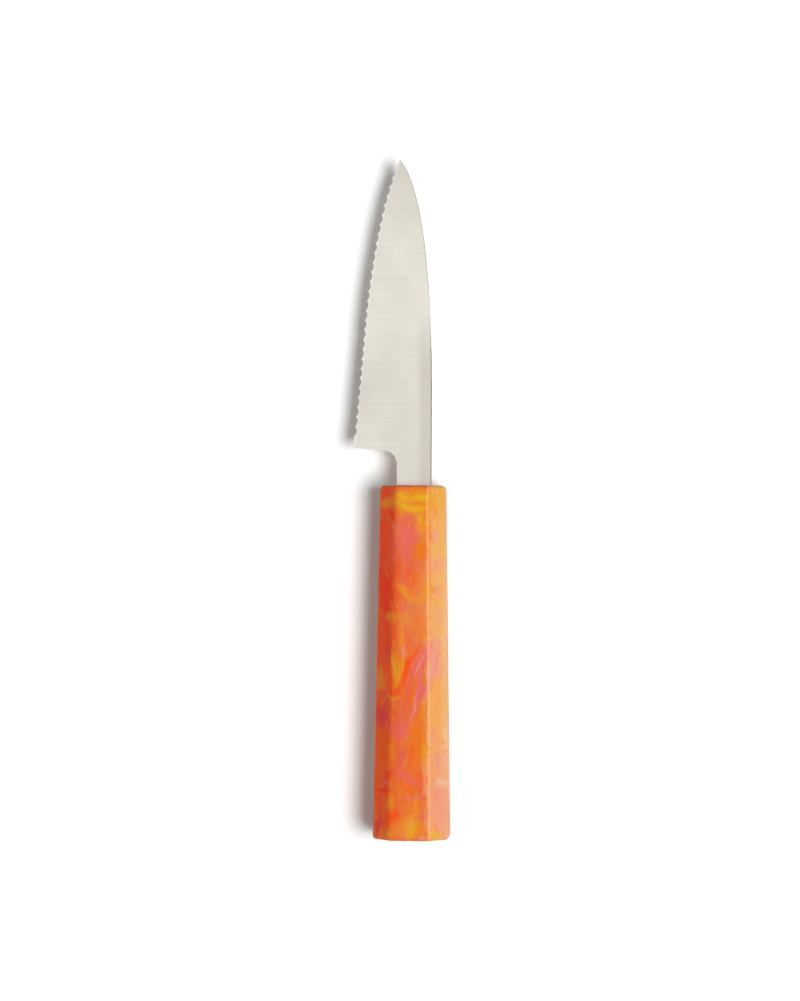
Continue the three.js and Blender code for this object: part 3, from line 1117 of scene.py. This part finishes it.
    def _wheels(self) -> Iterator[bpy.types.Object]:
        """Models the wheel that grinds the scallops, and copies it to each, from the heel on.

        Yields:
            A round bar that leans back under the blade, in place.
        """
        bpy.ops.object.select_all(action="DESELECT")
        bpy.ops.mesh.primitive_cylinder_add(vertices=self.wheel_sides, radius=1, depth=4 * self.margin)
        pattern = bpy.context.object
        count = int((self.edge.length - self.heel_plain - self.tip_plain) / self.tooth_pitch)
        lean = self.scallop_depth * math.sin(self.scallop_angle)
        up = Vector((0, 0, 1))
        for index in range(count):
            start = self.edge.at(self.heel_plain + index * self.tooth_pitch).to_3d()
            end = self.edge.at(self.heel_plain + (index + 1) * self.tooth_pitch).to_3d()
            along = (end - start).normalized()
            inward = along.cross(up)
            axis = inward * math.cos(self.scallop_angle) - up * math.sin(self.scallop_angle)
            away = -inward * math.sin(self.scallop_angle) - up * math.cos(self.scallop_angle)
            radius = (((end - start).length / 2) ** 2 + lean**2) / (2 * lean)
            deepest = (start + end) / 2 + inward * self.scallop_depth + up * self.edge_thickness / 2
            Bench.take(pattern)
            bpy.ops.object.duplicate()
            wheel = bpy.context.object
            turn = Matrix((away * radius, along * radius, axis)).transposed().to_4x4()
            wheel.matrix_world = Matrix.Translation(deepest + away * radius) @ turn
            yield wheel
        bpy.data.objects.remove(pattern)

    def _section(self, piece: bpy.types.Object) -> None:
        """Parts the long faces across the blade, so that no face runs its whole length."""
        first = math.ceil(-self.tang.length / self.section_pitch)
        last = math.floor(self.reach / self.section_pitch)
        for index in range(first, last + 1):
            with Bench.selecting(piece, Element.FACES, lambda face: True):
                middle = (0, index * self.section_pitch, 0)
                bpy.ops.mesh.bisect(plane_co=middle, plane_no=(0, 1, 0), threshold=self.plane_slack)

    def _ease(self, piece: bpy.types.Object) -> None:
        """Rounds the blank's long edges at the spine, and a little round neck, notch and heel."""

        def is_corner(edge: bmesh.types.BMEdge, wanted: Callable[[Vector], bool]) -> bool:
            """Tells whether an edge of either face lies along a wanted part of the outline."""
            ends = [vertex.co for vertex in edge.verts]
            level = abs(ends[0].z - ends[1].z) < self.weld
            return level and all(map(wanted, ends))

        def on_spine(place: Vector) -> bool:
            """Tells whether a place lies on the spine."""
            return self.back.x_at(place.y) - place.x < self.beside

        def on_neck(place: Vector) -> bool:
            """Tells whether a place lies on the neck's underside, in the notch or under the heel."""
            return place.y < self.heel.y + self.weld and place.x < self.underside + self.beside

        with Bench.selecting(piece, Element.EDGES, lambda edge: is_corner(edge, on_spine)):
            bpy.ops.mesh.bevel(offset=self.spine_easing, segments=self.spine_steps, affect="EDGES")
        with Bench.selecting(piece, Element.EDGES, lambda edge: is_corner(edge, on_neck)):
            bpy.ops.mesh.bevel(offset=self.corner_easing, segments=self.corner_steps, affect="EDGES")

    def _measure(self, piece: bpy.types.Object) -> None:
        """Keeps how far each vertex lies from the edge and the spine, for the finish."""
        from_edge = piece.data.attributes.new("from_edge", "FLOAT", "POINT")
        from_spine = piece.data.attributes.new("from_spine", "FLOAT", "POINT")
        for vertex, edge_mark, spine_mark in zip(piece.data.vertices, from_edge.data, from_spine.data):
            x, y, _ = vertex.co
            beside_edge = y > self.heel.y - self.measured_from
            edge_mark.value = x - self.edge.x_at(y) if beside_edge else self.depth
            spine_mark.value = self.back.x_at(y) - x

    def dress(self, piece: bpy.types.Object, seat: Seat) -> None:
        """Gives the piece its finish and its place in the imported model."""
        Bench.smooth(piece, self.smooth_degrees)
        piece.data.materials.append(self.finish.material(seat))
        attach(piece, "root")
        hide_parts("blade")


@dataclass
class Handle:
    """The tapered octagonal handle, in millimetres, sized before its edges are rounded."""

    tang: Tang
    length: float = 119.7
    front_width: float = 22.1
    butt_width: float = 25.95
    front_thickness: float = 19.0
    butt_thickness: float = 21.4
    front_bevel: float = 5.7
    butt_bevel: float = 6.2
    edge_radius: float = 2.0
    end_round: float = 1.5
    round_steps: int = 7
    pocket_grow: float = 0.8
    smooth_degrees: float = 40.0
    finish: MarbledPlastic = field(default_factory=MarbledPlastic)

    def seat(self) -> Seat:
        """Tips the knife by its taper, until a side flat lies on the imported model's rest.

        Returns:
            How the knife's frame then stands.
        """
        rest = next(mount for mount in frame["record"]["mounts"] if mount["name"] == "rest_flat")
        tilt = -math.atan((self.butt_thickness - self.front_thickness) / 2 / self.length)
        low = -(self.front_thickness + self.butt_thickness) / 4
        middle = Matrix.Rotation(tilt, 3, "X") @ Vector((0, -self.length / 2, low))
        return Seat(tilt, Vector(rest["pos_m"]) / MM - middle)

    def build(self, steel: float) -> bpy.types.Object:
        """Models the piece: a tapered block, bevelled, rounded and pocketed.

        Args:
            steel: The thickness of the tang that its pocket takes.

        Returns:
            The piece, in the knife's own frame.
        """
        piece = self._block()
        for side in (1, -1):
            for height in (1, -1):
                self._plane_off(piece, side, height)
        self._round(piece)
        pocket = self.tang.sleeve("pocket", self.pocket_grow, self.end_round, steel)
        Bench.cut(piece, pocket)
        Bench.close(piece)
        return piece

    def _block(self) -> bpy.types.Object:
        """Models the tapered block that the handle is cut from."""
        bpy.ops.object.select_all(action="DESELECT")
        bpy.ops.mesh.primitive_cube_add(size=1, location=(0, -self.length / 2, 0))
        piece = bpy.context.object
        piece.name = "marbled_handle"
        piece.scale = (self.butt_width, self.length, self.butt_thickness)
        bpy.ops.object.transform_apply(location=True, rotation=True, scale=True)
        shares = (self.front_width / self.butt_width, 1, self.front_thickness / self.butt_thickness)
        with Bench.selecting(piece, Element.VERTICES, lambda vertex: vertex.co.y > -self.length / 2):
            bpy.ops.transform.resize(value=shares, center_override=(0, 0, 0))
        return piece

    def _plane_off(self, piece: bpy.types.Object, side: int, height: int) -> None:
        """Cuts one of the four long bevels.

        Args:
            piece: The block.
            side: 1 on the spine's side, -1 on the belly's.
            height: 1 above, -1 below.
        """
        front = (self.front_width + self.front_thickness) / 2 - self.front_bevel
        butt = (self.butt_width + self.butt_thickness) / 2 - self.butt_bevel
        normal = Vector((side, (butt - front) / self.length, height)).normalized()
        on_plane = Vector((side * front / 2, 0, height * front / 2))
        with Bench.selecting(piece, Element.FACES, lambda face: True):
            bpy.ops.mesh.bisect(plane_co=on_plane, plane_no=normal, use_fill=True, clear_outer=True)

    def _round(self, piece: bpy.types.Object) -> None:
        """Rounds the handle's two ends, and its long edges by a smaller radius."""
        tangent = self.edge_radius * math.tan(math.pi / 8)
        with Bench.selecting(piece, Element.EDGES, lambda edge: not self._is_long(edge)):
            bpy.ops.transform.edge_bevelweight(value=1.0)
        with Bench.selecting(piece, Element.EDGES, self._is_long):
            bpy.ops.transform.edge_bevelweight(value=tangent / self.end_round)
        Bench.take(piece)
        bpy.ops.object.modifier_add(type="BEVEL")
        modifier = piece.modifiers[-1]
        modifier.limit_method = "WEIGHT"
        modifier.width = self.end_round
        modifier.segments = self.round_steps
        bpy.ops.object.modifier_apply(modifier=modifier.name)

    def _is_long(self, edge: bmesh.types.BMEdge) -> bool:
        """Tells whether an edge runs from one end of the handle to the other."""
        return abs(edge.verts[0].co.y - edge.verts[1].co.y) > self.length / 2

    def dress(self, piece: bpy.types.Object, seat: Seat) -> None:
        """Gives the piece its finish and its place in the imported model."""
        Bench.smooth(piece, self.smooth_degrees)
        piece.data.materials.append(self.finish.material(seat))
        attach(piece, "root")
        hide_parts("handle")


@dataclass
class Adhesive:
    """The cured adhesive between the tang and its pocket, in millimetres."""

    tang: Tang
    slack: float = 0.02
    recess: float = 0.3
    meniscus: float = 0.15
    beside: float = 0.01
    smooth_degrees: float = 30.0
    finish: CuredAdhesive = field(default_factory=CuredAdhesive)

    def build(self, pocket_grow: float, steel: float) -> bpy.types.Object:
        """Models the sleeve, with a hollow bead round the steel at the mouth.

        Args:
            pocket_grow: How much wider the pocket is than the tang, all round.
            steel: The tang's thickness.

        Returns:
            The piece, in the knife's own frame.
        """
        piece = self.tang.sleeve("adhesive_bed", pocket_grow - self.slack, -self.recess, steel)
        Bench.cut(piece, self.tang.sleeve("tang_room", self.slack, self.recess, steel))
        Bench.close(piece)
        mouth = -self.recess - self.beside
        with Bench.selecting(piece, Element.FACES, lambda face: face.calc_center_median().y > mouth):
            bpy.ops.mesh.inset(thickness=self.meniscus, depth=-self.meniscus)
        return piece

    def dress(self, piece: bpy.types.Object, seat: Seat) -> None:
        """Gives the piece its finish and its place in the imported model."""
        Bench.smooth(piece, self.smooth_degrees)
        piece.data.materials.append(self.finish.material(seat))
        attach(piece, "root")
        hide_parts("tang_adhesive")


@dataclass(frozen=True)
class Lamp:
    """An area lamp that shines at the knife, round or drawn out along it, in metres and watts."""

    name: str
    x: float
    y: float
    z: float
    distance: float
    size: float
    power: float
    stretch: float = 1.0
    diffuse: bool = True
    glossy: bool = True

    def hang(self, target: Vector) -> None:
        """Hangs the lamp in its direction from a target, and turns it there."""
        away = Vector((self.x, self.y, self.z)).normalized()
        bpy.ops.object.light_add(type="AREA", location=target + away * self.distance)
        lamp = bpy.context.object
        lamp.name = self.name
        lamp.rotation_euler = away.to_track_quat("Z", "Y").to_euler()
        lamp.data.shape = "ELLIPSE"
        lamp.data.size = self.size * self.stretch
        lamp.data.size_y = self.size
        lamp.data.energy = self.power
        lamp.visible_diffuse = self.diffuse
        lamp.visible_glossy = self.glossy


@dataclass
class Studio:
    """A white floor, a large soft lamp, a white card, a gloss panel and a camera, in metres."""

    target: Vector = field(default_factory=lambda: Vector((-0.00459, 0.05485, 0.009)))
    view_height: float = 0.3403
    view_distance: float = 1.0
    view_lean: float = math.radians(4.2)
    view_turn: float = math.radians(0.27)
    lamps: tuple[Lamp, ...] = (
        Lamp("soft_lamp", 0.55, -0.16, 1.0, 2.6, 1.35, 61.5, stretch=1.3, glossy=False),
        Lamp("fill_card", -1.0, 0.0, 0.36, 2.0, 1.0, 8.5, glossy=False),
        Lamp("gloss_panel", 0.687, 0.0, 0.727, 2.0, 0.6, 29.0, diffuse=False),
    )
    ambient: float = 0.12
    shown: float = 1.0
    mirrored: float = 1.0
    floor_size: float = 6.0
    floor_tone: float = 0.55
    floor_shown: float = 1.16
    floor_lift: float = 0.02
    floor_near: float = 0.35
    floor_far: float = 1.0
    # The floor beside the handle is toned against the red light that the handle throws on it
    cool_tint: tuple[float, float, float] = (0.88, 1.0, 1.0)
    cool_belly: Span = (-0.0215, -0.0125)
    cool_spine: Span = (0.006, -0.004)
    cool_butt: Span = (-0.066, -0.056)
    cool_front: Span = (0.07, 0.058)

    def build(self) -> None:
        """Sets up the floor, the light and the camera."""
        self._floor()
        for lamp in self.lamps:
            lamp.hang(self.target)
        self._surroundings()
        self._camera()
        bpy.context.scene.view_settings.view_transform = "Standard"

    @staticmethod
    def _seen(graph: Graph) -> tuple[Signal, Signal]:
        """Tells whether a ray comes from the camera, or from a mirror or a lens."""
        camera = graph.node("ShaderNodeLightPath", output="Is Camera Ray")
        glossy = graph.node("ShaderNodeLightPath", output="Is Glossy Ray")
        through = graph.node("ShaderNodeLightPath", output="Is Transmission Ray")
        return camera, glossy + through

    def _floor(self) -> None:
        """Lays a pale floor that takes the knife's shadow and shows plain white further off."""
        bpy.ops.object.select_all(action="DESELECT")
        bpy.ops.mesh.primitive_plane_add(size=self.floor_size)
        floor = bpy.context.object
        floor.name = "floor"
        graph, material = Graph.of_material("white_floor")
        camera, mirrored = self._seen(graph)
        seen = camera + mirrored
        place = graph.node("ShaderNodeTexCoord", output="Object")
        tone = self.floor_tone + seen * (self.floor_shown - self.floor_tone)
        cooled = graph.vector("MULTIPLY", tone, self.cool_tint)
        colour = graph.mixed(self._beside_handle(graph, place) * camera, tone, cooled)
        matt = graph.node("ShaderNodeBsdfDiffuse", None, {"Color": colour})
        glow = graph.node("ShaderNodeEmission", None, {"Strength": seen * self.floor_lift})
        lit = graph.node("ShaderNodeAddShader", None, {0: matt, 1: glow})
        far = graph.step(graph.length(place), self.floor_near, self.floor_far) * seen
        white = graph.node("ShaderNodeEmission", None, {"Strength": self.shown})
        graph.surface(graph.node("ShaderNodeMixShader", None, {0: far, 1: lit, 2: white}))
        floor.data.materials.append(material)

    def _beside_handle(self, graph: Graph, place: Signal) -> Signal:
        """Marks the floor in the handle's shadow, which the handle itself lights too red."""
        across, along = graph.axis(place, "X"), graph.axis(place, "Y")
        share = graph.step(across, *self.cool_belly) * graph.step(across, *self.cool_spine)
        return share * graph.step(along, *self.cool_butt) * graph.step(along, *self.cool_front)

    def _surroundings(self) -> None:
        """Makes an even surround: white to the eye, dimmer as a light."""
        world = bpy.data.worlds.new("white_surround")
        world.use_nodes = True
        bpy.context.scene.world = world
        graph = Graph(world.node_tree)
        camera, mirrored = self._seen(graph)
        eye = camera * (self.shown - self.ambient)
        strength = self.ambient + eye + mirrored * (self.mirrored - self.ambient)
        background = graph.node("ShaderNodeBackground", None, {"Color": (1, 1, 1, 1), "Strength": strength})
        graph.surface(background, "ShaderNodeOutputWorld")

    def _camera(self) -> None:
        """Hangs the camera over the knife, leaning a little to the spine's side."""
        away = Vector((math.sin(self.view_lean), 0, math.cos(self.view_lean)))
        bpy.ops.object.camera_add(location=self.target + away * self.view_distance)
        camera = bpy.context.object
        aim = Matrix.Rotation(self.view_lean, 4, "Y") @ Matrix.Rotation(self.view_turn, 4, "Z")
        camera.rotation_euler = aim.to_euler()
        camera.data.lens = camera.data.sensor_width * self.view_distance / self.view_height
        bpy.context.scene.camera = camera


def main() -> None:
    """Builds the knife's pieces and the studio round them, and logs each piece's face count."""
    logging.basicConfig(level=logging.INFO, format="%(message)s")
    tang = Tang()
    blade, handle, adhesive = Blade(tang), Handle(tang), Adhesive(tang)
    seat = handle.seat()
    steel = blade.build()
    block = handle.build(blade.stock)
    bed = adhesive.build(handle.pocket_grow, blade.stock)
    for maker, piece in ((blade, steel), (handle, block), (adhesive, bed)):
        seat.set_down(piece)
        maker.dress(piece, seat)
        log.info("%s: %d faces", piece.name, len(piece.data.polygons))
    Studio().build()


if __name__ == "__main__":
    main()
